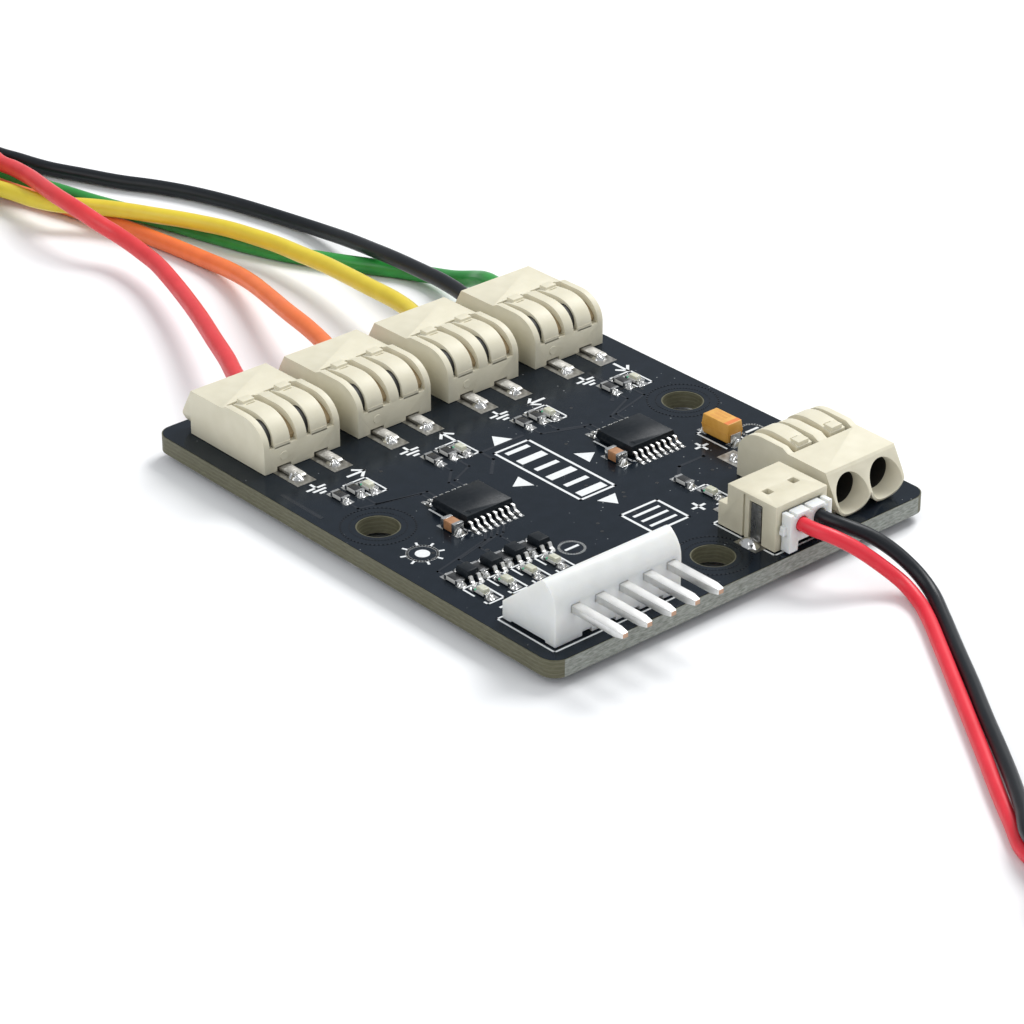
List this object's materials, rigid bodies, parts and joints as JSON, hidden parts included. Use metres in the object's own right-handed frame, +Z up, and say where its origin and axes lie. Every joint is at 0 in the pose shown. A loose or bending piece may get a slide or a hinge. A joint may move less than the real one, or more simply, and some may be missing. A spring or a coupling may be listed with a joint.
{
  "type": "joystick input cleaner board",
  "caption": "Small black circuit board with push-in wire terminals, a right-angle pin header, a two-pole lead socket and coloured leads that end in coils.",
  "frame": {"origin": "middle of the base of the board's bounding box, leads left out, on the surface it stands on", "axes": "+Z up from the board's component face; +Y towards the edge with the row of push-in terminals; +X along that edge"},
  "size_m": [0.0414, 0.1912, 0.0089],
  "materials": {
    "solder_mask": "glossy near-black solder mask over glass-fibre laminate",
    "terminal_ivory": "satin moulded ivory nylon",
    "white_nylon": "satin moulded white nylon, slightly translucent",
    "tinned_metal": "bright tin plate",
    "black_epoxy": "fine matt moulded epoxy",
    "tantalum_case": "satin yellow-orange epoxy",
    "brown_ceramic": "matt fired ceramic",
    "insulation_red": "smooth extruded insulation",
    "insulation_orange": "smooth extruded insulation",
    "insulation_yellow": "smooth extruded insulation",
    "insulation_green": "smooth extruded insulation",
    "insulation_black": "smooth extruded insulation"
  },
  "bodies": {
    "root": {"circuit_board": "solder_mask", "terminal_1_housing": "terminal_ivory", "terminal_1_contact_a": "tinned_metal", "terminal_1_contact_b": "tinned_metal", "terminal_2_housing": "terminal_ivory", "terminal_2_contact_a": "tinned_metal", "terminal_2_contact_b": "tinned_metal", "terminal_3_housing": "terminal_ivory", "terminal_3_contact_a": "tinned_metal", "terminal_3_contact_b": "tinned_metal", "terminal_4_housing": "terminal_ivory", "terminal_4_contact_a": "tinned_metal", "terminal_4_contact_b": "tinned_metal", "terminal_5_housing": "terminal_ivory", "terminal_5_contact_a": "tinned_metal", "terminal_5_contact_b": "tinned_metal", "header_body": "white_nylon", "header_pin_1": "tinned_metal", "header_pin_2": "tinned_metal", "header_pin_3": "tinned_metal", "header_pin_4": "tinned_metal", "header_pin_5": "tinned_metal", "lead_socket": "terminal_ivory", "socket_tab_left": "tinned_metal", "socket_tab_right": "tinned_metal", "socket_pin_left": "tinned_metal", "socket_pin_right": "tinned_metal", "lead_plug": "white_nylon", "chip_left": "black_epoxy", "chip_right": "black_epoxy", "tantalum_capacitor": "tantalum_case", "ceramic_capacitor_left": "brown_ceramic", "ceramic_capacitor_right": "brown_ceramic", "harness_wire_red": "insulation_red", "harness_wire_orange": "insulation_orange", "harness_wire_yellow": "insulation_yellow", "harness_wire_green": "insulation_green", "harness_wire_black": "insulation_black", "harness_coil": "insulation_green", "harness_tail": "insulation_yellow", "harness_plug": "white_nylon", "power_wire_red": "insulation_red", "power_wire_black": "insulation_black", "power_coil": "insulation_red", "power_tail": "insulation_black"},
    "terminal_1_lever_a": {"terminal_1_lever_a": "terminal_ivory"},
    "terminal_1_lever_b": {"terminal_1_lever_b": "terminal_ivory"},
    "terminal_2_lever_a": {"terminal_2_lever_a": "terminal_ivory"},
    "terminal_2_lever_b": {"terminal_2_lever_b": "terminal_ivory"},
    "terminal_3_lever_a": {"terminal_3_lever_a": "terminal_ivory"},
    "terminal_3_lever_b": {"terminal_3_lever_b": "terminal_ivory"},
    "terminal_4_lever_a": {"terminal_4_lever_a": "terminal_ivory"},
    "terminal_4_lever_b": {"terminal_4_lever_b": "terminal_ivory"},
    "terminal_5_lever_a": {"terminal_5_lever_a": "terminal_ivory"},
    "terminal_5_lever_b": {"terminal_5_lever_b": "terminal_ivory"}
  },
  "joints": [
    {"name": "terminal_1_release_a", "type": "hinge", "parent": "root", "child": "terminal_1_lever_a", "pos_m": [-0.0166, 0.0151, 0.00495], "axis": [-1, 0, 0], "range_deg": [0, 7], "stiffness_Nm_per_rad": 0.05},
    {"name": "terminal_1_release_b", "type": "hinge", "parent": "root", "child": "terminal_1_lever_b", "pos_m": [-0.0127, 0.0151, 0.00495], "axis": [-1, 0, 0], "range_deg": [0, 7], "stiffness_Nm_per_rad": 0.05},
    {"name": "terminal_2_release_a", "type": "hinge", "parent": "root", "child": "terminal_2_lever_a", "pos_m": [-0.0066, 0.0151, 0.00495], "axis": [-1, 0, 0], "range_deg": [0, 7], "stiffness_Nm_per_rad": 0.05},
    {"name": "terminal_2_release_b", "type": "hinge", "parent": "root", "child": "terminal_2_lever_b", "pos_m": [-0.0027, 0.0151, 0.00495], "axis": [-1, 0, 0], "range_deg": [0, 7], "stiffness_Nm_per_rad": 0.05},
    {"name": "terminal_3_release_a", "type": "hinge", "parent": "root", "child": "terminal_3_lever_a", "pos_m": [0.0034, 0.0151, 0.00495], "axis": [-1, 0, 0], "range_deg": [0, 7], "stiffness_Nm_per_rad": 0.05},
    {"name": "terminal_3_release_b", "type": "hinge", "parent": "root", "child": "terminal_3_lever_b", "pos_m": [0.0073, 0.0151, 0.00495], "axis": [-1, 0, 0], "range_deg": [0, 7], "stiffness_Nm_per_rad": 0.05},
    {"name": "terminal_4_release_a", "type": "hinge", "parent": "root", "child": "terminal_4_lever_a", "pos_m": [0.0134, 0.0151, 0.00495], "axis": [-1, 0, 0], "range_deg": [0, 7], "stiffness_Nm_per_rad": 0.05},
    {"name": "terminal_4_release_b", "type": "hinge", "parent": "root", "child": "terminal_4_lever_b", "pos_m": [0.0173, 0.0151, 0.00495], "axis": [-1, 0, 0], "range_deg": [0, 7], "stiffness_Nm_per_rad": 0.05},
    {"name": "terminal_5_release_a", "type": "hinge", "parent": "root", "child": "terminal_5_lever_a", "pos_m": [0.01695, -0.0112, 0.00495], "axis": [1, 0, 0], "range_deg": [0, 7], "stiffness_Nm_per_rad": 0.05},
    {"name": "terminal_5_release_b", "type": "hinge", "parent": "root", "child": "terminal_5_lever_b", "pos_m": [0.01305, -0.0112, 0.00495], "axis": [1, 0, 0], "range_deg": [0, 7], "stiffness_Nm_per_rad": 0.05}
  ]
}
